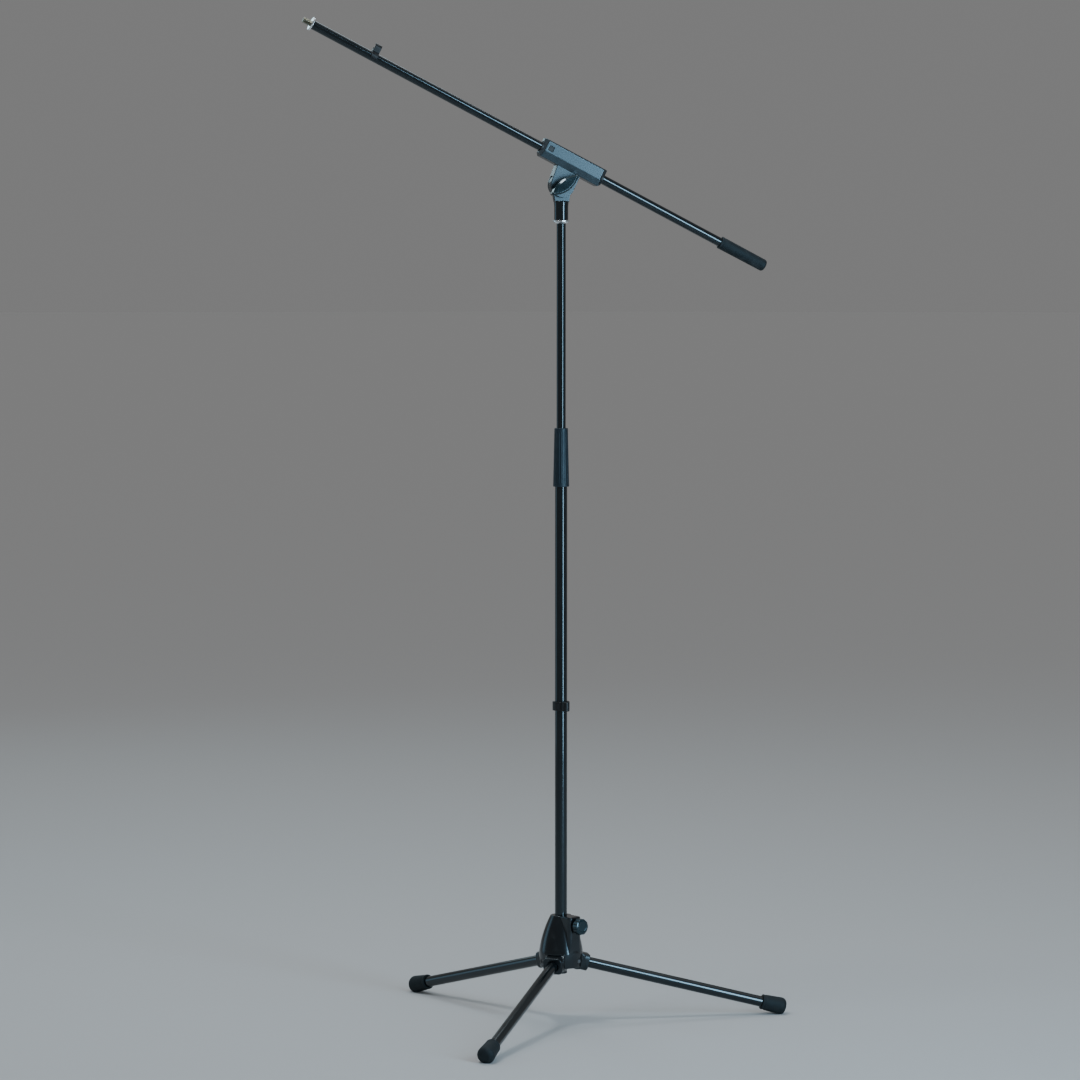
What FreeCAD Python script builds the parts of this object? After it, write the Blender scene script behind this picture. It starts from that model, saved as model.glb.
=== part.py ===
import FreeCAD, Part
import math
import os
from FreeCAD import Placement, Rotation, Vector

# Boom microphone stand: three folding legs on a die-cast hub, a two-stage column,
# and a tilting, sliding boom on a one-lever clamp.  Millimetres, +Z up, floor at z = 0.

# ---- driving dimensions --------------------------------------------------------------
# where the column axis stands, so that the origin is under the middle of the stand
COLUMN_X = 19.5
COLUMN_Y = 36.0

LOWER_TUBE_R = 10.0
UPPER_TUBE_R = 7.5
BOOM_R = 7.5
LEG_TUBE_R = 9.0
TUBE_WALL = 1.2

RUN_GAP = 0.06          # radial clearance of a part that turns or slides on another
SEAT_GAP = 0.02         # radial clearance of a part that is pressed or glued in
FACE_GAP = 0.3          # between faces of neighbouring bodies

# heights on the column axis
HUB_RIM_Z = 93.0
HUB_TOP_Z = 178.0
TUBE_FOOT_Z = 84.0
LOWER_TUBE_TOP_Z = 905.0
CLUTCH_Z = (883.5, 979.0)
COLUMN_CLIP_Z = (516.0, 531.0)
COLUMN_CLIP_ANGLE = -63.0
UPPER_TUBE_Z = (514.0, 1311.5)
LOCK_RING_Z = (1312.0, 1317.0)
COLLAR_TOP_Z = 1338.5
YOKE_LEDGE_Z = 1348.0
PIVOT_Z = 1374.0

# legs: three at 120 degrees, each hinged on a pin across its arch in the hub
LEG_ANGLES = {"right": 11.4, "front": -108.6, "left": 131.4}
LEG_PIN_RADIUS = 25.0
LEG_PIN_Z = 103.1
LEG_FALL = 14.55        # degrees below level
LEG_PIN_R = 3.0
LEG_PIN_SPAN = (-24.0, 22.0)
KNUCKLE_HALF = 16.5
KNUCKLE_R = 14.0
KNUCKLE_OUT = 19.7
KNUCKLE_ROUND = 7.0
ARCH_GAP = 0.5
LEG_TUBE_END = 345.0
FOOT_SPAN = (326.0, 368.0)
FOOT_R = (12.6, 14.4)

# hub clamp screw and its knob, between the right and the front leg
KNOB_ANGLE = -48.6
KNOB_Z = 163.5
KNOB_R = 13.25
KNOB_SPAN = (37.2, 53.5)
BOSS_HALF = 13.0
BOSS_OUT = 36.5
SCREW_R = 4.0
SCREW_END = 48.0
PAD_R = 5.5
PAD_SPAN = (9.0, 13.0)

# boom head
HEAD_YAW = 15.0
BOOM_RISE = 27.0
BOOM_OFFSET = 40.0      # boom axis from the tilt pin
FORK_HALF = 10.5
TONGUE_HALF = 5.0
CHEEK_IN = 6.0
DISC_R = 20.2
PIVOT_BOLT_R = 4.0
PIVOT_BOLT_END = -28.5
NUT_R = 7.5
SLEEVE_SPAN = (-59.5, 57.0)
SLEEVE_HALF_DEPTH = 13.0
SLEEVE_CORNER = 6.5
BUSH_R = 9.6
BUSH_LENGTH = 12.0
SHOE_HALF = (12.0, 4.5)
BADGE_X = (-48.6, -40.2)
BADGE_Z = (38.8, 47.2)
BADGE_DEPTH = 0.9
T_BAR_LENGTH = 55.0
T_BAR_WIDTH = 20.0
T_BAR_TURN = 63.0       # turn of the bar from the boom's own direction
T_BAR_WING = (-30.5, -15.5)
T_BAR_BACK = -12.1
INSERT_R = 6.0

# boom stations along its axis, positive towards the rear grip
BOOM_SPAN = (-482.4, 364.0)
STUD_END = -499.5
STUD_R = 4.7625         # 3/8 inch stud
STUD_NECK_R = 4.5       # relief behind its thread, where the ring nut sits
BOOM_RING_SPAN = (-486.0, -482.7)
BOOM_CLIP_SPAN = (-377.0, -365.6)
GRIP_SPAN = (283.2, 369.7)

X_AXIS, Y_AXIS, Z_AXIS = Vector(1, 0, 0), Vector(0, 1, 0), Vector(0, 0, 1)
ORIGIN = Vector(0, 0, 0)


# ---- shape helpers -------------------------------------------------------------------
def cylinder(r, low, high, axis=Z_AXIS):
    """A rod of radius r from low to high along an axis through the origin."""
    return Part.makeCylinder(r, high - low, axis * low, axis)


def ring(r_out, r_in, low, high, axis=Z_AXIS):
    return cylinder(r_out, low, high, axis).cut(cylinder(r_in, low - 1, high + 1, axis))


def box(x, y, z):
    """A box given by its (low, high) along each axis."""
    return Part.makeBox(x[1] - x[0], y[1] - y[0], z[1] - z[0], Vector(x[0], y[0], z[0]))


def turned(profile, axis=Z_AXIS):
    """A turned solid from (radius, station) corners round the given axis."""
    side = X_AXIS if axis == Z_AXIS else Z_AXIS
    points = [side * r + axis * s for r, s in profile]
    face = Part.Face(Part.makePolygon(points + points[:1]))
    return face.revolve(ORIGIN, axis, 360)


def slab(corners, low, high, normal=Y_AXIS):
    """A plate with the given outline, from low to high along its normal.

    The outline is in (x, z) for a Y normal, in (y, z) for an X normal, in (x, y) for Z.
    """
    first = Y_AXIS if normal == X_AXIS else X_AXIS
    second = Y_AXIS if normal == Z_AXIS else Z_AXIS
    points = [first * a + second * b + normal * low for a, b in corners]
    face = Part.Face(Part.makePolygon(points + points[:1]))
    return face.extrude(normal * (high - low))


def edges_along(shape, axis, pick=None):
    """The straight edges that run along an axis, or those of them that pick accepts."""
    found = []
    for edge in shape.Edges:
        if not isinstance(edge.Curve, Part.Line):
            continue
        if edge.Curve.Direction.cross(axis).Length > 1e-6:
            continue
        if pick is None or pick(edge.CenterOfMass):
            found.append(edge)
    return found


def fused(*shapes):
    return shapes[0].multiFuse(list(shapes[1:])).removeSplitter()


# ---- frames --------------------------------------------------------------------------
STAND = Placement(Vector(COLUMN_X, COLUMN_Y, 0), Rotation())
HEAD = STAND.multiply(Placement(Vector(0, 0, PIVOT_Z), Rotation(Z_AXIS, HEAD_YAW)))
CLAMP = HEAD.multiply(Placement(ORIGIN, Rotation(Y_AXIS, BOOM_RISE)))
BOOM = CLAMP.multiply(Placement(Vector(0, 0, BOOM_OFFSET), Rotation()))
T_BAR = CLAMP.multiply(Placement(ORIGIN, Rotation(Y_AXIS, -T_BAR_TURN)))
KNOB = STAND.multiply(Placement(Vector(0, 0, KNOB_Z), Rotation(Z_AXIS, KNOB_ANGLE)))


def leg_in_hub(angle):
    """The frame of a leg: origin on its pin, +X down along the leg, in the hub's own frame."""
    pin = Rotation(Z_AXIS, angle).multVec(Vector(LEG_PIN_RADIUS, 0, LEG_PIN_Z))
    return Placement(pin, Rotation(Z_AXIS, angle).multiply(Rotation(Y_AXIS, LEG_FALL)))


# ---- hub -----------------------------------------------------------------------------
def hub_outside():
    """The egg-shaped casting: a crowned side from the flat top down to the leg arches."""
    top_r, belly_r, belly_z, rim_r = 17.0, 36.2, 117.0, 34.2
    top, shoulder = Vector(top_r, 0, HUB_TOP_Z), Vector(29.2, 0, 149.0)
    belly, skirt = Vector(belly_r, 0, belly_z), Vector(35.7, 0, 104.0)
    rim = Vector(rim_r, 0, HUB_RIM_Z)
    edges = [
        Part.LineSegment(Vector(0, 0, HUB_RIM_Z), rim).toShape(),
        Part.Arc(rim, skirt, belly).toShape(),
        Part.Arc(belly, shoulder, top).toShape(),
        Part.LineSegment(top, Vector(0, 0, HUB_TOP_Z)).toShape(),
        Part.LineSegment(Vector(0, 0, HUB_TOP_Z), Vector(0, 0, HUB_RIM_Z)).toShape(),
    ]
    return Part.Face(Part.Wire(edges)).revolve(ORIGIN, Z_AXIS, 360)


def knob_housing():
    """The boss that carries the clamp screw, with a buttress down the casting's side."""
    foot_z = 112.0
    front = [(BOSS_OUT, HUB_TOP_Z), (BOSS_OUT, 153.0), (35.6, 125.0), (34.5, foot_z)]
    block = slab([(0, foot_z), (0, HUB_TOP_Z)] + front, -BOSS_HALF, BOSS_HALF)
    corners = [e for e in block.Edges if e.CenterOfMass.x > 30 and abs(e.CenterOfMass.y) > 1]
    block = block.makeFillet(5.0, corners)
    top = [e for e in block.Edges if abs(e.CenterOfMass.z - HUB_TOP_Z) < 0.01]
    block = block.makeFillet(1.8, [e for e in top if e.CenterOfMass.x > 5])
    block.Placement = Placement(ORIGIN, Rotation(Z_AXIS, KNOB_ANGLE))
    return block


def leg_arch():
    """The room for one leg in the hub: its knuckle at rest and all through its swing."""
    half, r, reach = KNUCKLE_HALF + ARCH_GAP, KNUCKLE_R + ARCH_GAP, 70.0
    arch = box((0, reach), (-half, half), (-reach, r))
    arch = arch.makeFillet(KNUCKLE_ROUND + ARCH_GAP, edges_along(arch, X_AXIS, lambda c: c.z > 0))
    swing = box((-r, reach), (-half, half), (-reach, 0))
    return fused(arch, swing, cylinder(r, -half, half, Y_AXIS))


def hub_body():
    body = fused(hub_outside(), knob_housing())
    tools = [cylinder(LOWER_TUBE_R + RUN_GAP, 0, 2 * HUB_TOP_Z)]
    outside = -36.0
    for angle in LEG_ANGLES.values():
        pin_hole = cylinder(LEG_PIN_R + SEAT_GAP, outside, LEG_PIN_SPAN[1], Y_AXIS)
        for tool in (leg_arch(), pin_hole):
            tool.Placement = leg_in_hub(angle)
            tools.append(tool)
    screw_hole = cylinder(SCREW_R + RUN_GAP, 0, BOSS_OUT + 5, X_AXIS)
    pad_pocket = cylinder(PAD_R + SEAT_GAP, 0, PAD_SPAN[1] + 0.5, X_AXIS)
    for tool in (screw_hole, pad_pocket):
        tool.Placement = Placement(Vector(0, 0, KNOB_Z), Rotation(Z_AXIS, KNOB_ANGLE))
        tools.append(tool)
    return body.cut(tools)


def leg_pins():
    pins = []
    for angle in LEG_ANGLES.values():
        pin = cylinder(LEG_PIN_R, LEG_PIN_SPAN[0], LEG_PIN_SPAN[1] - 0.1, Y_AXIS)
        pin = pin.makeChamfer(0.4, [e for e in pin.Edges if isinstance(e.Curve, Part.Circle)])
        pin.Placement = leg_in_hub(angle)
        pins.append(pin)
    return Part.makeCompound(pins)


def hub_knob():
    """A round hand knob on a neck, with shallow scallops round its rim."""
    neck_r, shoulder, face = 8.5, KNOB_SPAN[0] + 5.0, KNOB_SPAN[1]
    profile = [
        (SCREW_R + SEAT_GAP, KNOB_SPAN[0]),
        (neck_r, KNOB_SPAN[0]),
        (neck_r, shoulder - 1.0),
        (KNOB_R - 1.5, shoulder),
        (KNOB_R, shoulder + 1.5),
        (KNOB_R, face - 2.0),
        (KNOB_R - 2.0, face),
        (0, face),
        (0, SCREW_END),
        (SCREW_R + SEAT_GAP, SCREW_END),
    ]
    knob = turned(profile, X_AXIS)
    scallops, cutter_r, depth = 10, 5.0, 1.1
    for i in range(scallops):
        turn = Rotation(X_AXIS, i * 360.0 / scallops)
        centre = turn.multVec(Vector(0, 0, KNOB_R + cutter_r - depth))
        cutter = Part.makeCylinder(cutter_r, 20, centre + X_AXIS * (shoulder - 2), X_AXIS)
        knob = knob.cut(cutter)
    return knob


def hub_knob_screw():
    return cylinder(SCREW_R, PAD_SPAN[1] + 0.2, SCREW_END - 0.2, X_AXIS)


def hub_clamp_pad():
    """A nylon pad between the screw's end and the column, hollowed to the tube's radius."""
    pad = cylinder(PAD_R, *PAD_SPAN, X_AXIS)
    tube = cylinder(LOWER_TUBE_R + 0.1, -20, 20)
    return pad.cut(tube)


# ---- legs ----------------------------------------------------------------------------
def leg_knuckle():
    """The block that holds a leg tube and turns on the hub's pin."""
    block = box((0, KNUCKLE_OUT), (-KNUCKLE_HALF, KNUCKLE_HALF), (-KNUCKLE_R, KNUCKLE_R))
    block = block.makeFillet(KNUCKLE_ROUND, edges_along(block, X_AXIS))
    barrel = cylinder(KNUCKLE_R, -KNUCKLE_HALF, KNUCKLE_HALF, Y_AXIS)
    knuckle = fused(block, barrel)
    face = [e for e in knuckle.Edges if abs(e.CenterOfMass.x - KNUCKLE_OUT) < 0.01]
    knuckle = knuckle.makeFillet(1.6, face)
    socket = cylinder(LEG_TUBE_R + SEAT_GAP, -LEG_TUBE_R, KNUCKLE_OUT + 5, X_AXIS)
    pin_bore = cylinder(LEG_PIN_R + RUN_GAP, -30, 30, Y_AXIS)
    return knuckle.cut([socket, pin_bore])


def leg_tube():
    tube = ring(LEG_TUBE_R, LEG_TUBE_R - TUBE_WALL, -LEG_TUBE_R, LEG_TUBE_END, X_AXIS)
    return tube.cut(cylinder(LEG_PIN_R + RUN_GAP, -30, 30, Y_AXIS))


def rubber_foot():
    """A blind rubber cap that swells towards its rounded outer end."""
    low, high = FOOT_SPAN
    dome = 9.0
    lip = 1.0
    points = [Vector(low, 0, 0), Vector(low, 0, FOOT_R[0] - lip), Vector(low + lip, 0, FOOT_R[0])]
    swell, cheek = Vector(high - dome, 0, FOOT_R[1]), Vector(high, 0, FOOT_R[1] - dome)
    bulge = Vector(high - dome * (1 - math.sqrt(0.5)), 0, FOOT_R[1] - dome * (1 - math.sqrt(0.5)))
    edges = [Part.LineSegment(a, b).toShape() for a, b in zip(points, points[1:])]
    edges.append(Part.LineSegment(points[-1], swell).toShape())
    edges.append(Part.Arc(swell, bulge, cheek).toShape())
    tip = Vector(high, 0, 0)
    edges.append(Part.LineSegment(cheek, tip).toShape())
    edges.append(Part.LineSegment(tip, points[0]).toShape())
    foot = Part.Face(Part.Wire(edges)).revolve(ORIGIN, X_AXIS, 360)
    return foot.cut(cylinder(LEG_TUBE_R + SEAT_GAP, low - 1, LEG_TUBE_END + 0.2, X_AXIS))


# ---- column --------------------------------------------------------------------------
def lower_tube():
    return ring(LOWER_TUBE_R, LOWER_TUBE_R - TUBE_WALL, TUBE_FOOT_Z, LOWER_TUBE_TOP_Z)


def tube_end_plug():
    inner_r, flange, depth = LOWER_TUBE_R - TUBE_WALL - SEAT_GAP, 3.0, 22.0
    profile = [
        (0, TUBE_FOOT_Z - flange),
        (LOWER_TUBE_R - 1.2, TUBE_FOOT_Z - flange),
        (LOWER_TUBE_R, TUBE_FOOT_Z - flange + 1.2),
        (LOWER_TUBE_R, TUBE_FOOT_Z - 0.05),
        (inner_r, TUBE_FOOT_Z - 0.05),
        (inner_r, TUBE_FOOT_Z + depth),
        (0, TUBE_FOOT_Z + depth),
    ]
    return turned(profile)


def cable_clip(tube_r, wall, mouth_deg, height, lift=0.0):
    """A snap-on cable clip, extruded along the tube, with its cable hook on +X.

    A C-shaped band grips the tube and is open on the far side; the hook is a second,
    smaller C that holds a cable beside the tube.
    """
    band_in, band_out = tube_r + 0.05, tube_r + wall
    hook_in, hook_out = 4.1, 6.2
    hook_at = band_out + hook_in - 0.3 + lift
    band = ring(band_out, band_in, 0, height)
    reach = 3 * band_out
    half = math.radians(mouth_deg / 2)
    far = [(-reach * math.cos(half), s * reach * math.sin(half)) for s in (1, -1)]
    mouth = slab([(0, 0)] + far, -1, height + 1, Z_AXIS)
    hook = cylinder(hook_out, 0, height)
    hook.translate(Vector(hook_at, 0, 0))
    neck = box((band_in + 0.5, hook_at), (-hook_out, hook_out), (0, height))
    channel = cylinder(hook_in, -1, height + 1)
    channel.translate(Vector(hook_at, 0, 0))
    entry = box((hook_at - 1.0, hook_at + 4.6), (0, reach), (-1, height + 1))
    clip = fused(band, hook, neck).cut([cylinder(band_in, -1, height + 1), mouth, channel, entry])
    return max(clip.Solids, key=lambda s: s.Volume)


def column_clip():
    clip = cable_clip(LOWER_TUBE_R, 4.0, 100, COLUMN_CLIP_Z[1] - COLUMN_CLIP_Z[0])
    rims = [e for e in clip.Edges if isinstance(e.Curve, Part.Circle) and e.Curve.Radius > 13]
    clip = clip.makeChamfer(1.2, rims)
    clip.Placement = Placement(Vector(0, 0, COLUMN_CLIP_Z[0]), Rotation(Z_AXIS, COLUMN_CLIP_ANGLE))
    return clip


def clutch_insert():
    """The threaded sleeve glued on the lower tube's top end, guiding the upper tube."""
    low, neck_top = CLUTCH_Z[0] + 2.5, 946.0
    shoulder = LOWER_TUBE_TOP_Z + 0.2
    profile = [
        (LOWER_TUBE_R + SEAT_GAP, low),
        (11.0, low),
        (11.0, shoulder + 1.0),
        (9.6, shoulder + 1.0),
        (9.6, neck_top),
        (UPPER_TUBE_R + 0.15, neck_top),
        (UPPER_TUBE_R + 0.15, shoulder),
        (LOWER_TUBE_R + SEAT_GAP, shoulder),
    ]
    return turned(profile)


def clutch_collet():
    """The slotted taper ring that the grip squeezes on to the upper tube."""
    low, high = 946.4, 966.0
    profile = [(UPPER_TUBE_R + 0.08, low), (9.4, low), (8.7, high), (UPPER_TUBE_R + 0.08, high)]
    collet = turned(profile)
    slots, slot = 4, 1.2
    for i in range(slots):
        cut = box((0, 20), (-slot / 2, slot / 2), (low + 4.0, high + 1))
        cut.rotate(ORIGIN, Z_AXIS, i * 360.0 / slots + 45)
        collet = collet.cut(cut)
    return collet


def clutch_grip():
    """The tapered hand grip that turns to lock the upper tube, fluted along its length."""
    low, high = CLUTCH_Z
    bottom_r, top_r, edge = 13.1, 11.0, 1.3
    profile = [
        (11.3, low),
        (bottom_r - edge, low),
        (bottom_r, low + edge),
        (top_r, high - edge),
        (top_r - edge, high),
        (UPPER_TUBE_R + 0.3, high),
        (UPPER_TUBE_R + 0.3, 967.0),
        (9.0, 967.0),
        (9.75, 946.0),
        (9.9, 946.0),
        (9.9, 908.0),
        (11.3, 908.0),
    ]
    grip = turned(profile)
    flutes, flute_r, depth = 18, 1.2, 0.45
    lean = math.degrees(math.atan((bottom_r - top_r) / (high - low)))
    for i in range(flutes):
        start = Vector(bottom_r + flute_r - depth - 0.13, 0, low + 6)
        flute = Part.makeCylinder(flute_r, high - low - 12, start, Rotation(Y_AXIS, -lean).multVec(Z_AXIS))
        flute.rotate(ORIGIN, Z_AXIS, i * 360.0 / flutes)
        grip = grip.cut(flute)
    return grip


def upper_tube():
    return ring(UPPER_TUBE_R, UPPER_TUBE_R - TUBE_WALL, *UPPER_TUBE_Z)


def upper_tube_guide():
    """The nylon bush on the upper tube's lower end, which slides inside the lower tube."""
    low = UPPER_TUBE_Z[0]
    bush_r = LOWER_TUBE_R - TUBE_WALL - RUN_GAP
    sleeve = ring(bush_r, UPPER_TUBE_R + SEAT_GAP, low - 0.05, low + 28)
    return fused(sleeve, ring(bush_r, 4.0, low - 5, low - 0.05))


def tube_top_stud():
    """The turned plug in the upper tube's top, ending in the stud that carries the head."""
    low = UPPER_TUBE_Z[1]
    plug_r = UPPER_TUBE_R - TUBE_WALL - SEAT_GAP
    foot, shoulder, top = low - 28.0, low + 0.4, COLLAR_TOP_Z + 2.0
    profile = [(0, foot), (plug_r, foot), (plug_r, low), (UPPER_TUBE_R, low + 0.05)]
    profile += [(UPPER_TUBE_R, shoulder), (STUD_R, shoulder), (STUD_R, top), (0, top)]
    return turned(profile)


def lock_ring(low, high, r_wide, r_narrow, axis):
    """A knurled ring nut with one face narrower than the other."""
    bore = STUD_R + RUN_GAP
    taper = 0.55 * (high - low)
    return turned([(bore, low), (r_narrow, low), (r_wide, low + taper), (r_wide, high), (bore, high)], axis)


# ---- head ----------------------------------------------------------------------------
def yoke():
    """The swivelling collar, its flared shoulder, and the flat tongue that the fork grips."""
    collar_r, flare_r, chamfer = 11.45, 12.2, 0.6
    low = LOCK_RING_Z[1] + FACE_GAP - PIVOT_Z
    neck, ledge, horn = COLLAR_TOP_Z - PIVOT_Z, YOKE_LEDGE_Z - PIVOT_Z, -15.2
    collar = turned([
        (0, low),
        (collar_r - chamfer, low),
        (collar_r, low + chamfer),
        (collar_r, neck),
        (flare_r, ledge - 1.5),
        (flare_r - 1.0, ledge),
        (0, ledge),
    ])
    web = [(-12.0, ledge - 1), (-14.0, horn), (-10.0, 0), (10.0, 0), (14.0, horn), (12.0, ledge - 1)]
    tongue = cylinder(DISC_R - 0.2, -TONGUE_HALF, TONGUE_HALF, Y_AXIS)
    body = fused(collar, slab(web, -TONGUE_HALF, TONGUE_HALF), tongue)
    socket = cylinder(STUD_R + RUN_GAP, low - 1, COLLAR_TOP_Z - PIVOT_Z + 3)
    return body.cut([socket, cylinder(PIVOT_BOLT_R + RUN_GAP, -30, 30, Y_AXIS)])


def clamp_sleeve():
    """The die-cast clamp: a faceted sleeve round the boom and the fork under it.

    Its frame has the tilt pin as Y, and the boom runs along X at BOOM_OFFSET above it.
    """
    top, brow, flank, sole = 55.2, 53.0, 36.0, 25.0
    depth, (front, rear) = SLEEVE_HALF_DEPTH, SLEEVE_SPAN
    half = [(FORK_HALF, sole), (depth, flank), (depth, brow), (depth - 2.2, top)]
    section = half + [(-y, z) for y, z in reversed(half)]
    corner, toe = SLEEVE_CORNER, 4.5
    plan = [(rear - corner, depth), (rear, depth - corner)]
    plan += [(x, -y) for x, y in reversed(plan)]
    plan += [(front + corner, -depth), (front, corner - depth)]
    plan += [(front, depth - corner), (front + corner, depth)]
    side = [(front, top + 1), (front, sole + toe), (front + toe, sole)]
    side += [(rear - toe, sole), (rear, sole + toe), (rear, top + 1)]
    sleeve = slab(section, front, rear, X_AXIS).common(slab(plan, 0, 80, Z_AXIS))
    sleeve = sleeve.common(slab(side, -20, 20))

    fork = [(-DISC_R, 0), (-23.0, sole + 1), (-23.0, flank - 1)]
    fork += [(19.5, flank - 1), (19.5, sole + 1), (DISC_R, 0)]
    cheeks = fused(slab(fork, -FORK_HALF, FORK_HALF), cylinder(DISC_R, -FORK_HALF, FORK_HALF, Y_AXIS))
    slot = fused(
        box((-40, 40), (-CHEEK_IN, CHEEK_IN), (-30, 0)),
        cylinder(DISC_R + 1.2, -CHEEK_IN, CHEEK_IN, Y_AXIS),
    )
    body = fused(sleeve, cheeks.cut(slot))

    bore = cylinder(BOOM_R + 0.6, front - 1, rear + 1, X_AXIS)
    bores = [bore]
    for low, high in bush_spans().values():
        bores.append(cylinder(BUSH_R + SEAT_GAP, low - 1, high + 1, X_AXIS))
    for tool in bores:
        tool.translate(Vector(0, 0, BOOM_OFFSET))
    shoe_room = box((-SHOE_HALF[0], SHOE_HALF[0]), (-SHOE_HALF[1], SHOE_HALF[1]), (DISC_R, BOOM_OFFSET))
    pin = cylinder(PIVOT_BOLT_R + SEAT_GAP, -30, 30, Y_AXIS)
    nut_pocket = cylinder(NUT_R + 0.1, FORK_HALF - 2.0, FORK_HALF + 5, Y_AXIS)
    badge = box(BADGE_X, (-depth - 1, -depth + BADGE_DEPTH), BADGE_Z)
    return body.cut(bores + [shoe_room, pin, nut_pocket, badge])


def bush_spans():
    """Where the two bushes sit along the sleeve."""
    front, rear = SLEEVE_SPAN
    return {"front": (front, front + BUSH_LENGTH), "rear": (rear - BUSH_LENGTH, rear)}


def sleeve_bush(low, high):
    """A nylon bush in one end of the sleeve, running on the boom."""
    return ring(BUSH_R, BOOM_R + RUN_GAP, low, high, X_AXIS)


def clamp_shoe():
    """The shoe that the lever presses up against the boom, hollowed to its radius."""
    gap = 0.2
    x, y = SHOE_HALF[0] - gap, SHOE_HALF[1] - gap
    foot, horns = DISC_R + 1.3, BOOM_OFFSET - 4
    shoe = box((-x, x), (-y, y), (foot, horns))
    boom = cylinder(BOOM_R + 0.1, -20, 20, X_AXIS)
    boom.translate(Vector(0, 0, BOOM_OFFSET))
    return shoe.cut(boom)


def sleeve_badge():
    """A blank square plate set in the sleeve's side, with a shallow dish."""
    gap, floor, rim = 0.15, BADGE_DEPTH - SLEEVE_HALF_DEPTH, 1.2
    x = (BADGE_X[0] + gap, BADGE_X[1] - gap)
    z = (BADGE_Z[0] + gap, BADGE_Z[1] - gap)
    plate = box(x, (floor - 0.5, floor - 0.02), z)
    dish = box((x[0] + rim, x[1] - rim), (floor - 1, floor - 0.25), (z[0] + rim, z[1] - rim))
    return plate.cut(dish)


def pivot_bolt():
    """The tilt pin: a bolt whose hexagon head sits in the rear cheek."""
    head_low, head_high = FORK_HALF - 1.9, FORK_HALF + 2.6
    corners = [math.radians(60 * i) for i in range(6)]
    hexagon = slab([(NUT_R * math.cos(a), NUT_R * math.sin(a)) for a in corners], head_low, head_high)
    return fused(hexagon, cylinder(PIVOT_BOLT_R, PIVOT_BOLT_END, head_low + 1, Y_AXIS))


def friction_washers():
    low, high, r_out, r_in = TONGUE_HALF + 0.1, CHEEK_IN - 0.1, 16.0, PIVOT_BOLT_R + 0.3
    sides = [ring(r_out, r_in, low, high, Y_AXIS), ring(r_out, r_in, -high, -low, Y_AXIS)]
    return Part.makeCompound(sides)


def t_bar_washer():
    return ring(9.5, PIVOT_BOLT_R + 0.1, -FORK_HALF - 1.3, -FORK_HALF - 0.05, Y_AXIS)


def t_bar():
    """The lever: a pointed oval bar on a round hub, with its front edge chamfered."""
    half, width = T_BAR_LENGTH / 2, T_BAR_WIDTH / 2
    arc_r = (half ** 2 + width ** 2) / (2 * width)
    tip, bevel = 3.5, 3.0
    oval = cylinder(arc_r, *T_BAR_WING, Y_AXIS)
    other = oval.copy()
    oval.translate(Vector(0, 0, arc_r - width))
    other.translate(Vector(0, 0, width - arc_r))
    wing = oval.common(other)
    wing = wing.makeFillet(tip, edges_along(wing, Y_AXIS, lambda c: abs(c.x) > width))
    front = [e for e in wing.Edges if abs(e.CenterOfMass.y - T_BAR_WING[0]) < 0.01]
    wing = wing.makeChamfer(bevel, front)
    hub_r = 8.5
    hub = cylinder(hub_r, T_BAR_WING[1] - 1, T_BAR_BACK, Y_AXIS)
    pocket = cylinder(INSERT_R + SEAT_GAP, PIVOT_BOLT_END - 0.3, 0, Y_AXIS)
    return fused(wing, hub).cut(pocket)


def t_bar_insert():
    """The brass thread insert moulded into the lever."""
    return ring(INSERT_R, PIVOT_BOLT_R + RUN_GAP, PIVOT_BOLT_END + 0.1, T_BAR_BACK - 0.1, Y_AXIS)


# ---- boom ----------------------------------------------------------------------------
def boom_tube():
    return ring(BOOM_R, BOOM_R - TUBE_WALL, *BOOM_SPAN, X_AXIS)


def boom_stud():
    """The turned plug in the boom's front end and its 3/8 inch stud."""
    plug_r, face = BOOM_R - TUBE_WALL - SEAT_GAP, BOOM_SPAN[0]
    profile = [
        (0, STUD_END),
        (STUD_R - 0.9, STUD_END),
        (STUD_R, STUD_END + 0.9),
        (STUD_R, BOOM_RING_SPAN[0] - 0.2),
        (STUD_NECK_R, BOOM_RING_SPAN[0] - 0.2),
        (STUD_NECK_R, face - 0.1),
        (plug_r, face - 0.1),
        (plug_r, face + 24),
        (0, face + 24),
    ]
    return turned(profile, X_AXIS)


def boom_ring():
    """The thin ring nut on the stud, bevelled towards the boom."""
    low, high = BOOM_RING_SPAN
    bore, r_out, bevel = STUD_NECK_R + RUN_GAP, 11.0, 0.6
    half = [(bore, low), (r_out - bevel, low), (r_out, low + bevel)]
    return turned(half + [(r_out, high - bevel), (r_out - bevel, high), (bore, high)], X_AXIS)


def boom_clip():
    """The clip's height runs along the boom, and its hook stands straight up from it."""
    clip = cable_clip(BOOM_R, 2.0, 130, BOOM_CLIP_SPAN[1] - BOOM_CLIP_SPAN[0], lift=2.5)
    upright = Rotation(Z_AXIS, Y_AXIS, X_AXIS * -1, "ZXY")
    clip.Placement = Placement(Vector(BOOM_CLIP_SPAN[1], 0, 0), upright)
    return clip


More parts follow.
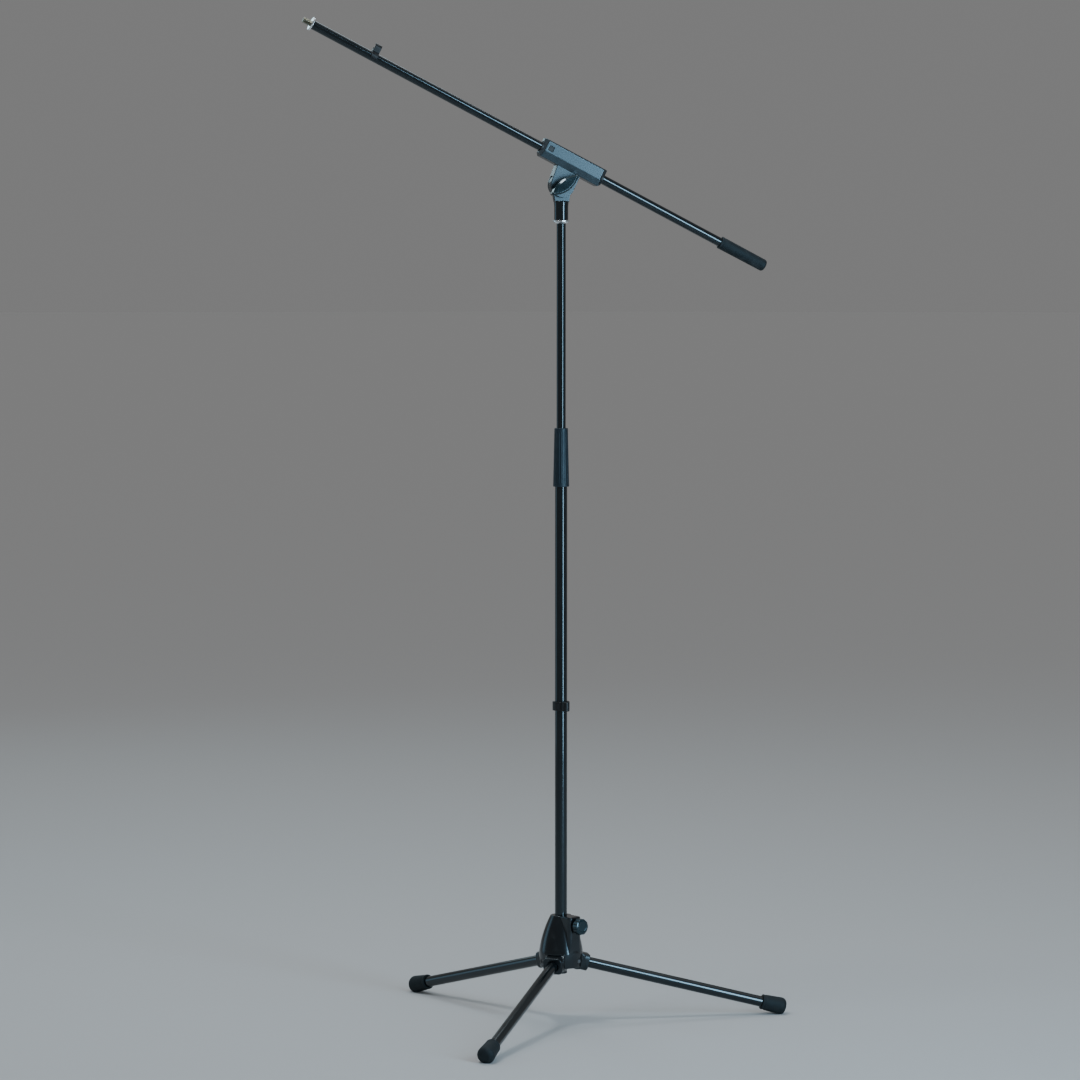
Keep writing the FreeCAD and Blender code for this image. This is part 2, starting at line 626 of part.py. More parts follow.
def boom_grip():
    """The rubber grip over the boom's rear end, closed and rounded behind."""
    low, high = GRIP_SPAN
    front_r, rear_r, lip, dome = 10.45, 9.95, 1.4, 4.5
    corner = Vector(high - dome * (1 - math.sqrt(0.5)), 0, rear_r - dome * (1 - math.sqrt(0.5)))
    points = [Vector(low, 0, 0), Vector(low, 0, front_r - lip), Vector(low + lip, 0, front_r)]
    points.append(Vector(high - dome, 0, rear_r))
    edges = [Part.LineSegment(a, b).toShape() for a, b in zip(points, points[1:])]
    end, tip = Vector(high, 0, rear_r - dome), Vector(high, 0, 0)
    edges.append(Part.Arc(points[-1], corner, end).toShape())
    edges.append(Part.LineSegment(end, tip).toShape())
    edges.append(Part.LineSegment(tip, points[0]).toShape())
    grip = Part.Face(Part.Wire(edges)).revolve(ORIGIN, X_AXIS, 360)
    return grip.cut(cylinder(BOOM_R + SEAT_GAP, low - 1, BOOM_SPAN[1] + 0.2, X_AXIS))


def boom_end_plug():
    plug_r, end = BOOM_R - TUBE_WALL - SEAT_GAP, BOOM_SPAN[1]
    return cylinder(plug_r, end - 14, end - 0.1, X_AXIS)


# ---- the assembly --------------------------------------------------------------------
def save(node, shape, frame):
    shape.Placement = frame.multiply(shape.Placement)
    shape.exportStep("parts/" + node + ".step")


def worn_flat(foot, frame):
    """The foot without what would be under the floor, still in its own frame."""
    below = box((-900, 900), (-900, 900), (-50, 0))
    below.Placement = frame.inverse()
    return foot.cut(below)


def main():
    os.makedirs("parts", exist_ok=True)
    save("hub_body", hub_body(), STAND)
    save("leg_pins", leg_pins(), STAND)
    save("hub_clamp_pad", hub_clamp_pad(), KNOB)
    save("hub_knob", hub_knob(), KNOB)
    save("hub_knob_screw", hub_knob_screw(), KNOB)
    for name, angle in LEG_ANGLES.items():
        leg = STAND.multiply(leg_in_hub(angle))
        save("leg_knuckle_" + name, leg_knuckle(), leg)
        save("leg_tube_" + name, leg_tube(), leg)
        save("foot_" + name, worn_flat(rubber_foot(), leg), leg)

    save("lower_tube", lower_tube(), STAND)
    save("tube_end_plug", tube_end_plug(), STAND)
    save("column_clip", column_clip(), STAND)
    save("clutch_insert", clutch_insert(), STAND)
    save("clutch_collet", clutch_collet(), STAND)
    save("clutch_grip", clutch_grip(), STAND)
    save("upper_tube", upper_tube(), STAND)
    save("upper_tube_guide", upper_tube_guide(), STAND)
    save("tube_top_stud", tube_top_stud(), STAND)
    save("column_lock_ring", lock_ring(*LOCK_RING_Z, 13.0, 9.0, Z_AXIS), STAND)

    save("yoke", yoke(), HEAD)
    save("clamp_sleeve", clamp_sleeve(), CLAMP)
    save("sleeve_badge", sleeve_badge(), CLAMP)
    save("clamp_shoe", clamp_shoe(), CLAMP)
    save("pivot_bolt", pivot_bolt(), CLAMP)
    save("friction_washers", friction_washers(), CLAMP)
    save("t_bar_washer", t_bar_washer(), CLAMP)
    save("t_bar", t_bar(), T_BAR)
    save("t_bar_insert", t_bar_insert(), T_BAR)
    for name, span in bush_spans().items():
        save("sleeve_bush_" + name, sleeve_bush(*span), BOOM)
    save("boom_tube", boom_tube(), BOOM)
    save("boom_stud", boom_stud(), BOOM)
    save("boom_ring", boom_ring(), BOOM)
    save("boom_clip", boom_clip(), BOOM)
    save("boom_grip", boom_grip(), BOOM)
    save("boom_end_plug", boom_end_plug(), BOOM)


main()
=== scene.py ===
import math

import bmesh
import bpy
from mathutils import Matrix, Vector


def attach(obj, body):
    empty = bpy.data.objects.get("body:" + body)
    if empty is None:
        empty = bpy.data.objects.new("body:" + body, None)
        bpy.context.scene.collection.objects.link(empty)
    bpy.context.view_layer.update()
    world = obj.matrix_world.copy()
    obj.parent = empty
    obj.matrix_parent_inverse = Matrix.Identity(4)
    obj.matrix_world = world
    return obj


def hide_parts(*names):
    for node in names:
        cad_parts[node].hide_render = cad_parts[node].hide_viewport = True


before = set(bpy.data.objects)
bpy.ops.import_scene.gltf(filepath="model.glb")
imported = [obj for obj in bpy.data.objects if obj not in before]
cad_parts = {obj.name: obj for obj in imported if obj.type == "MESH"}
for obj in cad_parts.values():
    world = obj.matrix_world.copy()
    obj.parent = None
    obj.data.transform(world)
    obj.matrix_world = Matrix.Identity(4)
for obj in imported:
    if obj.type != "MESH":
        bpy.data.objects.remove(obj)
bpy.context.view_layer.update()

# The looks of a boom microphone stand.  Sizes are in millimetres and match the CAD model;
# meshes are written in metres.  Every turned piece has its axis along its own Z.

MM = 0.001

# ---- sizes ---------------------------------------------------------------------------
COLUMN_X, COLUMN_Y = 19.5, 36.0
LOWER_TUBE_R, UPPER_TUBE_R, BOOM_R, LEG_TUBE_R = 10.0, 7.5, 7.5, 9.0
TUBE_WALL = 1.2
FIT = 0.1   # how much wider, in radius, a bore is than what it holds

HUB_RIM_Z, HUB_TOP_Z = 93.0, 178.0
TUBE_FOOT_Z, LOWER_TUBE_TOP_Z = 84.0, 905.0
CLUTCH_Z = (883.5, 979.0)
COLUMN_CLIP_Z = (516.0, 531.0)
COLUMN_CLIP_ANGLE = -63.0
UPPER_TUBE_Z = (514.0, 1311.5)
LOCK_RING_Z = (1312.0, 1317.0)
COLLAR_FOOT_Z, COLLAR_TOP_Z = 1317.3, 1338.5
YOKE_LEDGE_Z = 1348.0
PIVOT_Z = 1374.0

LEG_ANGLES = {"right": 11.4, "front": -108.6, "left": 131.4}
LEG_PIN_RADIUS, LEG_PIN_Z, LEG_PIN_R = 25.0, 103.1, 3.0
LEG_PIN_SPAN = (-24.0, 21.9)
LEG_FALL = 14.55
LEG_TUBE_END = 345.0
KNUCKLE_HALF, KNUCKLE_R, KNUCKLE_OUT, KNUCKLE_ROUND = 16.5, 14.0, 19.7, 7.0
ARCH_GAP = 0.5
FOOT_SPAN = (326.0, 368.0)
FOOT_R = (12.6, 14.4)

KNOB_ANGLE, KNOB_Z, KNOB_R = -48.6, 163.5, 13.25
KNOB_SPAN = (37.2, 53.5)
BOSS_HALF, BOSS_OUT = 13.0, 36.5
SCREW_R, SCREW_SPAN = 4.0, (13.2, 47.8)

HEAD_YAW, BOOM_RISE, BOOM_OFFSET = 15.0, 27.0, 40.0
T_BAR_TURN = 63.0
FORK_HALF, TONGUE_HALF, CHEEK_IN = 10.5, 5.0, 6.0
DISC_R = 20.2
BOLT_R, BOLT_END, NUT_R = 4.0, -28.5, 7.5
SLEEVE_SPAN = (-59.5, 57.0)
SLEEVE_HALF_DEPTH, SLEEVE_CORNER = 13.0, 6.5
BADGE_X, BADGE_Z, BADGE_DEPTH = (-48.6, -40.2), (38.8, 47.2), 0.9
BUSH_R, BUSH_LENGTH = 9.6, 12.0
T_BAR_LENGTH, T_BAR_WIDTH = 55.0, 20.0
T_BAR_WING, T_BAR_BACK = (-30.5, -15.5), -12.1

BOOM_SPAN = (-482.4, 364.0)
STUD_END, STUD_R, STUD_NECK_R = -499.5, 4.7625, 4.5
STUD_PITCH = 1.5875   # 16 threads to the inch
BOOM_RING_SPAN = (-486.0, -482.7)
BOOM_CLIP_SPAN = (-377.0, -365.6)
GRIP_SPAN = (283.2, 369.7)

FLOOR_R, FLOOR_THICKNESS = 60000.0, 1.0

# the camera's place, measured from the column's axis, and its tilt in degrees
CAMERA_SIDE, CAMERA_BACK, CAMERA_HEIGHT = -34.5, 7000.0, 1305.0
CAMERA_DIP = 4.16
CAMERA_LENS = 143.1


# ---- frames --------------------------------------------------------------------------
def turn(degrees, axis):
    return Matrix.Rotation(math.radians(degrees), 4, axis)


def shift(x, y, z):
    return Matrix.Translation(Vector((x, y, z)) * MM)


STAND = shift(COLUMN_X, COLUMN_Y, 0)
HEAD = STAND @ shift(0, 0, PIVOT_Z) @ turn(HEAD_YAW, "Z")
CLAMP = HEAD @ turn(BOOM_RISE, "Y")
BOOM = CLAMP @ shift(0, 0, BOOM_OFFSET)
T_BAR = CLAMP @ turn(-T_BAR_TURN, "Y")
KNOB = STAND @ shift(0, 0, KNOB_Z) @ turn(KNOB_ANGLE, "Z")


def leg_in_hub(angle):
    """A leg's frame in the hub's own: origin on its pin, +X down along the leg."""
    return turn(angle, "Z") @ shift(LEG_PIN_RADIUS, 0, LEG_PIN_Z) @ turn(LEG_FALL, "Y")


ONTO_X = turn(90, "Y")          # takes a turned piece's Z to X
ONTO_Y = turn(-90, "X")         # and to Y
FACING_Y = turn(90, "X")        # takes a plate's x, y, z to x, -z, y
FACING_X = Matrix(((0, 0, 1, 0), (1, 0, 0, 0), (0, 1, 0, 0), (0, 0, 0, 1)))  # to z, x, y
HOOK_UP = Matrix(((0, 0, -1, 0), (0, 1, 0, 0), (1, 0, 0, 0), (0, 0, 0, 1)))  # to -z, y, x


# ---- outlines ------------------------------------------------------------------------
def softened(corners, radius, closed=False, steps=4):
    """The same outline with each corner rounded."""
    if closed:
        triples = zip(corners[-1:] + corners[:-1], corners, corners[1:] + corners[:1])
    else:
        triples = zip(corners, corners[1:], corners[2:])
    points = [] if closed else [Vector(corners[0])]
    for before, corner, after in triples:
        back, middle, ahead = Vector(before), Vector(corner), Vector(after)
        reach = min(radius, 0.45 * (back - middle).length, 0.45 * (ahead - middle).length)
        start = middle + (back - middle).normalized() * reach
        end = middle + (ahead - middle).normalized() * reach
        for k in range(steps + 1):
            t = k / steps
            points.append(start.lerp(middle, t).lerp(middle.lerp(end, t), t))
    if not closed:
        points.append(Vector(corners[-1]))
    return points


def divided(points, step):
    """The same line with extra points, so that no run is longer than step."""
    line = [Vector(points[0])]
    for a, b in zip(points, points[1:]):
        a, b = Vector(a), Vector(b)
        count = max(1, math.ceil((b - a).length / step))
        line += [a.lerp(b, k / count) for k in range(1, count + 1)]
    return line


def arc(centre, radius, start, end, steps):
    """Points on an arc, its angles in degrees."""
    angles = [math.radians(start + (end - start) * k / steps) for k in range(steps + 1)]
    return [(centre[0] + radius * math.cos(a), centre[1] + radius * math.sin(a)) for a in angles]


def through(a, b, c, steps):
    """Points on the arc from a through b to c."""
    (ax, ay), (bx, by), (cx, cy) = a, b, c
    d = 2 * (ax * (by - cy) + bx * (cy - ay) + cx * (ay - by))
    aa, bb, cc = ax * ax + ay * ay, bx * bx + by * by, cx * cx + cy * cy
    x = (aa * (by - cy) + bb * (cy - ay) + cc * (ay - by)) / d
    y = (aa * (cx - bx) + bb * (ax - cx) + cc * (bx - ax)) / d
    start, end = (math.degrees(math.atan2(p[1] - y, p[0] - x)) for p in (a, c))
    return arc((x, y), math.hypot(ax - x, ay - y), start, end, steps)


def inset(outline, distance):
    """An anticlockwise outline moved inwards by a distance."""
    moved = []
    count = len(outline)
    for i, point in enumerate(outline):
        along = (Vector(outline[i]) - Vector(outline[i - 1])).normalized()
        onward = (Vector(outline[(i + 1) % count]) - Vector(point)).normalized()
        n, m = Vector((-along.y, along.x)), Vector((-onward.y, onward.x))
        moved.append(Vector(point) + (n + m) * distance / (1 + n.dot(m)))
    return moved


# ---- solids --------------------------------------------------------------------------
def solid(shape, place=Matrix.Identity(4)):
    """A mesh object from a bmesh, with its place written into the mesh."""
    bmesh.ops.recalc_face_normals(shape, faces=shape.faces)
    shape.transform(place)
    mesh = bpy.data.meshes.new("solid")
    shape.to_mesh(mesh)
    shape.free()
    obj = bpy.data.objects.new("solid", mesh)
    bpy.context.scene.collection.objects.link(obj)
    return obj


def skinned(rings, joined):
    """A bmesh skin over rows of points; a row of one point is a pole."""
    shape = bmesh.new()
    rows = [[shape.verts.new(p) for p in ring] for ring in rings]
    around = max(len(row) for row in rows)
    pairs = list(zip(rows, rows[1:]))
    if joined:
        pairs.append((rows[-1], rows[0]))
    for low, high in pairs:
        for i in range(around):
            j = (i + 1) % around
            corners = [low[i % len(low)], low[j % len(low)]]
            corners += [high[j % len(high)], high[i % len(high)]]
            shape.faces.new(dict.fromkeys(corners))
    return shape, rows


def turned(profile, place=Matrix.Identity(4), segments=96, relief=None):
    """A surface of revolution from (radius, station) corners.

    A profile that starts and ends on the axis closes at its poles; any other closes on
    itself.  relief(angle, radius, station) gives the radius where it isn't round.
    """
    rings = []
    for radius, station in profile:
        if radius < 1e-6:
            rings.append([(0, 0, station * MM)])
            continue
        ring = []
        for i in range(segments):
            a = 2 * math.pi * i / segments
            r = relief(a, radius, station) if relief else radius
            ring.append((r * MM * math.cos(a), r * MM * math.sin(a), station * MM))
        rings.append(ring)
    return solid(skinned(rings, joined=profile[0][0] > 1e-6)[0], place)


def rod(radius, low, high, place=Matrix.Identity(4), segments=96):
    return turned([(0, low), (radius, low), (radius, high), (0, high)], place, segments)


def rod_with_edge(radius, low, high, place):
    corners = [(0, low), (radius, low), (radius, high), (0, high)]
    return turned(softened(corners, 0.4), place, 64)


def tube(outer, inner, low, high, place=Matrix.Identity(4), edge=0.3):
    corners = [(inner, low), (outer, low), (outer, high), (inner, high)]
    return turned(softened(corners, edge, closed=True), place)


def plate(outline, low, high, rims=(0, 0), place=Matrix.Identity(4)):
    """A plate with an anticlockwise outline in (x, y), its low and high rims rounded."""
    layers = []
    for rim, face, inward in ((rims[0], low, 1), (rims[1], high, -1)):
        steps = 5 if rim else 1
        half = []
        for k in range(steps):
            a = math.radians(90 * k / max(1, steps - 1)) if rim else math.pi / 2
            half.append((rim * (1 - math.sin(a)), face + inward * rim * (1 - math.cos(a))))
        layers += half if inward > 0 else half[::-1]
    return layered(outline, layers, place)


def layered(outline, layers, place=Matrix.Identity(4)):
    """A solid from an anticlockwise outline, with its (inset, height) layer by layer."""
    rings = [[(p.x * MM, p.y * MM, z * MM) for p in inset(outline, d)] for d, z in layers]
    shape, rows = skinned(rings, joined=False)
    shape.faces.new(rows[0])
    shape.faces.new(rows[-1])
    return solid(shape, place)


def block(x, y, z, place=Matrix.Identity(4)):
    """A box given by its (low, high) along each axis, as a cutter or a core."""
    return plate([(x[0], y[0]), (x[1], y[0]), (x[1], y[1]), (x[0], y[1])], *z, place=place)


def bake(obj):
    """Writes an object's modifiers into its mesh."""
    graph = bpy.context.evaluated_depsgraph_get()
    mesh = bpy.data.meshes.new_from_object(obj.evaluated_get(graph))
    obj.modifiers.clear()
    obj.data = mesh
    return obj


def combined(how, base, *others, touching=False):
    """The base after UNION, DIFFERENCE or INTERSECT with the others, which are used up.

    touching is for a base whose own faces may meet along an edge.
    """
    for other in others:
        step = base.modifiers.new("combine", "BOOLEAN")
        step.operation, step.object, step.solver, step.use_self = how, other, "EXACT", touching
        bake(base)
        bpy.data.objects.remove(other)
    return base


def cast(obj, grain, passes):
    """Re-skins a sharp solid in even faces and eases its edges, as on a casting."""
    skin = obj.modifiers.new("skin", "REMESH")
    skin.mode, skin.voxel_size = "VOXEL", grain * MM
    ease = obj.modifiers.new("ease", "SMOOTH")
    ease.factor, ease.iterations = 0.5, passes
    return bake(obj)


# ---- materials -----------------------------------------------------------------------
CLOUD_SIZE, SCRATCH_WIDTH = 22.0, 0.7   # millimetres
COOL = (0.72, 0.9, 1.0)
COAT_ROUGHNESS = 0.06
ENAMEL_BLACK, ENAMEL_ROUGHNESS = (0.002, 0.003, 0.004), 0.1


def linked(tree, kind, sources=(), **settings):
    """A new node with its inputs linked or set: sources are (input, socket or value)."""
    node = tree.nodes.new(kind)
    for key, value in settings.items():
        setattr(node, key, value)
    for name, source in sources:
        if isinstance(source, bpy.types.NodeSocket):
            tree.links.new(source, node.inputs[name])
        else:
            node.inputs[name].default_value = source
    return node


def ranged(tree, value, low, high, out_low, out_high):
    """The value stretched from low..high to out_low..out_high, and clamped."""
    sources = [("Value", value), ("From Min", low), ("From Max", high)]
    sources += [("To Min", out_low), ("To Max", out_high)]
    return linked(tree, "ShaderNodeMapRange", sources).outputs["Result"]


def noise(tree, place, size, detail=3.0):
    """Noise whose features are about size millimetres across."""
    sources = [("Vector", place), ("Scale", 1 / (size * MM)), ("Detail", detail)]
    return linked(tree, "ShaderNodeTexNoise", sources).outputs["Fac"]


def mixed(tree, factor, first, second):
    """Two colours mixed by a factor; each is a socket or a plain (r, g, b)."""
    node = tree.nodes.new("ShaderNodeMix")
    node.data_type = "RGBA"
    tree.links.new(factor, node.inputs[0])
    for socket, colour in ((node.inputs[6], first), (node.inputs[7], second)):
        if isinstance(colour, bpy.types.NodeSocket):
            tree.links.new(colour, socket)
        else:
            socket.default_value = (*colour, 1)
    return node.outputs[2]


def finish(
    slot, base, worn, gloss, grain,
    metal=0.0, coat=0.0, tint=None, scratch=0.0, wear=0.0, level=0.5, enamel_top=None,
):
    """A procedural surface.

    base and worn are its colours, gloss its lowest and highest roughness, grain the size
    and height of its skin in millimetres.  scratch dulls it in fine lengthwise lines, wear
    rubs its edges, and below the height enamel_top it is black enamel instead.
    """
    material = bpy.data.materials.new(slot)
    material.use_nodes = True
    tree = material.node_tree
    shader = tree.nodes["Principled BSDF"]
    place = tree.nodes.new("ShaderNodeTexCoord").outputs["Object"]

    cloudy = noise(tree, place, CLOUD_SIZE, 4.0)
    skin = noise(tree, place, grain[0], 2.0)
    colour = mixed(tree, ranged(tree, cloudy, 0.35, 0.7, 0.0, 0.6), base, worn)
    rough = ranged(tree, cloudy, 0.3, 0.7, *gloss)

    if scratch:
        drawn_out = [("Vector", place), ("Scale", (1.0, 1.0, 0.02))]
        along = linked(tree, "ShaderNodeMapping", drawn_out).outputs["Vector"]
        lines = noise(tree, along, SCRATCH_WIDTH, 2.0)
        marks = ranged(tree, lines, 0.6, 0.75, 0.0, scratch)
        extra = linked(tree, "ShaderNodeMath", [(0, rough), (1, marks)], operation="ADD")
        rough = extra.outputs[0]
    if wear:
        edges = tree.nodes.new("ShaderNodeNewGeometry").outputs["Pointiness"]
        patchy = linked(tree, "ShaderNodeMath", [(0, edges), (1, cloudy)], operation="ADD")
        rubbed = ranged(tree, patchy.outputs[0], 1.05, 1.25, 0.0, wear)
        colour = mixed(tree, rubbed, colour, [min(1.0, 3 * c + 0.05) for c in worn])

    if enamel_top is not None:
        height = linked(tree, "ShaderNodeSeparateXYZ", [("Vector", place)]).outputs["Z"]
        low, high = (enamel_top - 0.3) * MM, (enamel_top + 0.3) * MM
        above = ranged(tree, height, low, high, 0.0, 1.0)
        colour = mixed(tree, above, ENAMEL_BLACK, colour)
        rough = ranged(tree, above, 0.0, 1.0, ENAMEL_ROUGHNESS, rough)

    relief = [("Height", skin), ("Distance", grain[1] * MM), ("Strength", 1.0)]
    bump = linked(tree, "ShaderNodeBump", relief)
    tree.links.new(colour, shader.inputs["Base Color"])
    tree.links.new(rough, shader.inputs["Roughness"])
    tree.links.new(bump.outputs["Normal"], shader.inputs["Normal"])
    shader.inputs["Metallic"].default_value = metal
    shader.inputs["Specular IOR Level"].default_value = level
    shader.inputs["Coat Weight"].default_value = coat
    shader.inputs["Coat Roughness"].default_value = COAT_ROUGHNESS
    if tint:
        shader.inputs["Specular Tint"].default_value = (*tint, 1)
    return material


SURFACES = {
    "tube_black": {
        "base": (0.0035, 0.005, 0.006), "worn": (0.005, 0.007, 0.008), "gloss": (0.09, 0.15),
        "grain": (9.0, 0.002), "coat": 0.25, "tint": COOL, "scratch": 0.02,
    },
    "cast_black": {
        "base": (0.003, 0.004, 0.005), "worn": (0.005, 0.006, 0.007), "gloss": (0.16, 0.26),
        "grain": (2.0, 0.005), "coat": 0.25, "tint": COOL, "wear": 0.2,
    },
    "head_satin": {
        "base": (0.005, 0.009, 0.012), "worn": (0.008, 0.013, 0.017), "gloss": (0.29, 0.36),
        "grain": (3.0, 0.002), "coat": 0.1, "tint": COOL, "wear": 0.15, "level": 0.8,
    },
    "knuckle_black": {
        "base": (0.004, 0.005, 0.006), "worn": (0.006, 0.007, 0.008), "gloss": (0.24, 0.36),
        "grain": (0.6, 0.01), "coat": 0.1, "tint": COOL, "wear": 0.2,
    },
    # knob_black is a black knob; its dark teal base and worn colours are a painted reflection,
    # the teal of the blue key light on its face.
    "knob_black": {
        "base": (0.004, 0.016, 0.021), "worn": (0.006, 0.02, 0.026), "gloss": (0.09, 0.16),
        "grain": (3.0, 0.004), "coat": 0.1, "tint": COOL, "wear": 0.15,
    },
    "grip_satin": {
        "base": (0.004, 0.009, 0.014), "worn": (0.006, 0.012, 0.018), "gloss": (0.4, 0.52),
        "grain": (0.4, 0.02), "tint": COOL, "wear": 0.2,
    },
    "clip_black": {
        "base": (0.004, 0.005, 0.006), "worn": (0.007, 0.008, 0.009), "gloss": (0.34, 0.46),
        "grain": (0.5, 0.012), "wear": 0.2, "level": 0.35,
    },
    "nylon_black": {
        "base": (0.006, 0.007, 0.008), "worn": (0.01, 0.011, 0.012), "gloss": (0.42, 0.56),
        "grain": (0.5, 0.02), "wear": 0.2,
    },
    "rubber_black": {
        "base": (0.006, 0.008, 0.009), "worn": (0.011, 0.013, 0.014), "gloss": (0.62, 0.8),
        "grain": (0.35, 0.03), "tint": COOL, "wear": 0.2, "level": 0.4,
    },
    "zinc_steel": {
        "base": (0.1, 0.105, 0.11), "worn": (0.07, 0.075, 0.08), "gloss": (0.3, 0.42),
        "grain": (0.4, 0.01), "metal": 1.0,
    },
    "stud_brass": {
        "base": (0.3, 0.3, 0.24), "worn": (0.2, 0.19, 0.14), "gloss": (0.26, 0.42),
        "grain": (0.4, 0.01), "metal": 1.0,
    },
    "chrome": {
        "base": (0.8, 0.84, 0.87), "worn": (0.7, 0.75, 0.79), "gloss": (0.07, 0.16),
        "grain": (3.0, 0.003), "metal": 1.0,
    },
    "brass": {
        "base": (0.6, 0.46, 0.2), "worn": (0.42, 0.3, 0.12), "gloss": (0.24, 0.38),
        "grain": (0.4, 0.01), "metal": 1.0,
    },
    "fibre_grey": {
        "base": (0.2, 0.19, 0.17), "worn": (0.12, 0.11, 0.1), "gloss": (0.7, 0.85),
        "grain": (0.6, 0.05),
    },
}
MATERIALS = {slot: finish(slot, **surface) for slot, surface in SURFACES.items()}


def piece(name, obj, place, body, slot, flat_deg=None):
    """Names a finished solid, puts it in its frame and gives it its body and surface."""
    obj.name = obj.data.name = name + "_skin"
    obj.matrix_world = place
    obj.data.shade_smooth()
    if flat_deg:
        obj.data.set_sharp_from_angle(angle=math.radians(flat_deg))
    even = obj.modifiers.new("even_normals", "WEIGHTED_NORMAL")
    even.keep_sharp = True
    bake(obj)
    obj.data.materials.clear()
    obj.data.materials.append(MATERIALS[slot])
    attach(obj, body)
    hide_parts(name)
    return obj


# ---- hub -----------------------------------------------------------------------------
def hub_casting():
    """The egg-shaped casting with its knob housing, leg arches and column bore."""
    rim, flank, belly = (34.2, HUB_RIM_Z), (35.7, 104.0), (36.2, 117.0)
    shoulder, top = (29.2, 149.0), (17.0, HUB_TOP_Z)
    side = through(rim, flank, belly, 12) + through(belly, shoulder, top, 48)[1:]
    dome = turned([(0, HUB_RIM_Z)] + side + [(0, HUB_TOP_Z)], segments=256)

    foot, swell, brow = (34.5, 112.0), (35.6, 125.0), (BOSS_OUT, 153.0)
    corner_r, top_edge = 7.0, 2.0
    front = [(0, foot[1]), foot, swell, brow, (BOSS_OUT, HUB_TOP_Z), (0, HUB_TOP_Z)]
    plan = [(0, -BOSS_HALF), (BOSS_OUT, -BOSS_HALF), (BOSS_OUT, BOSS_HALF), (0, BOSS_HALF)]
    plan = softened(plan, corner_r, closed=True, steps=8)
    housing = plate(front, -BOSS_HALF, BOSS_HALF, place=FACING_Y)
    corners = plate(plan, foot[1], HUB_TOP_Z, (0, top_edge))
    housing = combined("INTERSECT", housing, corners)
    housing.data.transform(turn(KNOB_ANGLE, "Z"))
    body = combined("UNION", dome, housing)

    cutters = [rod(LOWER_TUBE_R + FIT, 0, 2 * HUB_TOP_Z)]
    half, r, reach = KNUCKLE_HALF + ARCH_GAP, KNUCKLE_R + ARCH_GAP, 70.0
    pin_entry = -36.0   # beyond the casting's side, where the pin is driven in
    for angle in LEG_ANGLES.values():
        place = leg_in_hub(angle)
        arch = plate(arch_section(half, r, reach), 0, reach, place=place @ FACING_X)
        swing = block((-r, reach), (-half, half), (-reach, 0), place)
        barrel = rod(r, -half, half, place @ ONTO_Y)
        pin_hole = rod(LEG_PIN_R + FIT, pin_entry, LEG_PIN_SPAN[1], place @ ONTO_Y, 48)
        cutters += [arch, swing, barrel, pin_hole]
    screw_axis = turn(KNOB_ANGLE, "Z") @ shift(0, 0, KNOB_Z) @ ONTO_X
    cutters.append(rod(SCREW_R + 2 * FIT, 0, BOSS_OUT + 5, screw_axis, 48))
    return cast(combined("DIFFERENCE", body, *cutters), grain=0.55, passes=5)


def arch_section(half, high, deep):
    """The opening over one leg: straight sides and a rounded head, in (y, z)."""
    corner = KNUCKLE_ROUND + ARCH_GAP
    left = arc((-half + corner, high - corner), corner, 180, 90, 10)
    right = arc((half - corner, high - corner), corner, 90, 0, 10)
    return [(half, -deep)] + (left + right)[::-1] + [(-half, -deep)]


def knob():
    """A round hand knob on a neck, with shallow scallops round its rim."""
    back, face = KNOB_SPAN
    neck_r, shoulder = 8.5, back + 5.0
    dish_r, dish_floor_r, dish = 8.2, 7.2, face - 0.9
    corners = [(0, back), (neck_r, back), (neck_r, shoulder), (KNOB_R, shoulder + 0.8)]
    corners += [(KNOB_R, face - 1.4), (KNOB_R - 3.4, face), (dish_r, face)]
    corners += [(dish_floor_r, dish), (0, dish)]
    profile = divided(softened(corners, 0.9), 0.8)
    scallops, cutter_r, depth, plain_r = 10, 5.0, 1.1, 9.0
    centre = KNOB_R + cutter_r - depth

    def scalloped(angle, radius, station):
        step = 2 * math.pi / scallops
        off = (angle + step / 2) % step - step / 2
        across = centre * math.sin(off)
        if radius < plain_r or abs(across) >= cutter_r:
            return radius
        dent = centre * math.cos(off) - math.sqrt(cutter_r ** 2 - across ** 2)
        return min(radius, dent + 0.12)

    return turned(profile, ONTO_X, 240, scalloped)


# ---- legs ----------------------------------------------------------------------------
def knuckle():
    """The block that holds a leg tube and turns on the hub's pin."""
    half, r = KNUCKLE_HALF, KNUCKLE_R
    section = [(-half, -r), (half, -r), (half, r), (-half, r)]
    section = softened(section, 1.3 * KNUCKLE_ROUND, closed=True, steps=10)
    body = plate(section, 0, KNUCKLE_OUT, (0, 1.6), FACING_X)
    body = combined("UNION", body, rod(r, -half, half, ONTO_Y))
    bore_r, flare_r, end, past = LEG_TUBE_R + FIT, LEG_TUBE_R + 1.2, -12.0, KNUCKLE_OUT + 2
    bore = [(0, end), (bore_r, end), (bore_r, KNUCKLE_OUT - 0.9)]
    bore += [(flare_r, KNUCKLE_OUT + 0.2), (flare_r, past), (0, past)]
    socket = turned(bore, ONTO_X)
    pin_hole = rod(LEG_PIN_R + FIT, -30, 30, ONTO_Y, 48)
    return cast(combined("DIFFERENCE", body, socket, pin_hole), grain=0.5, passes=3)


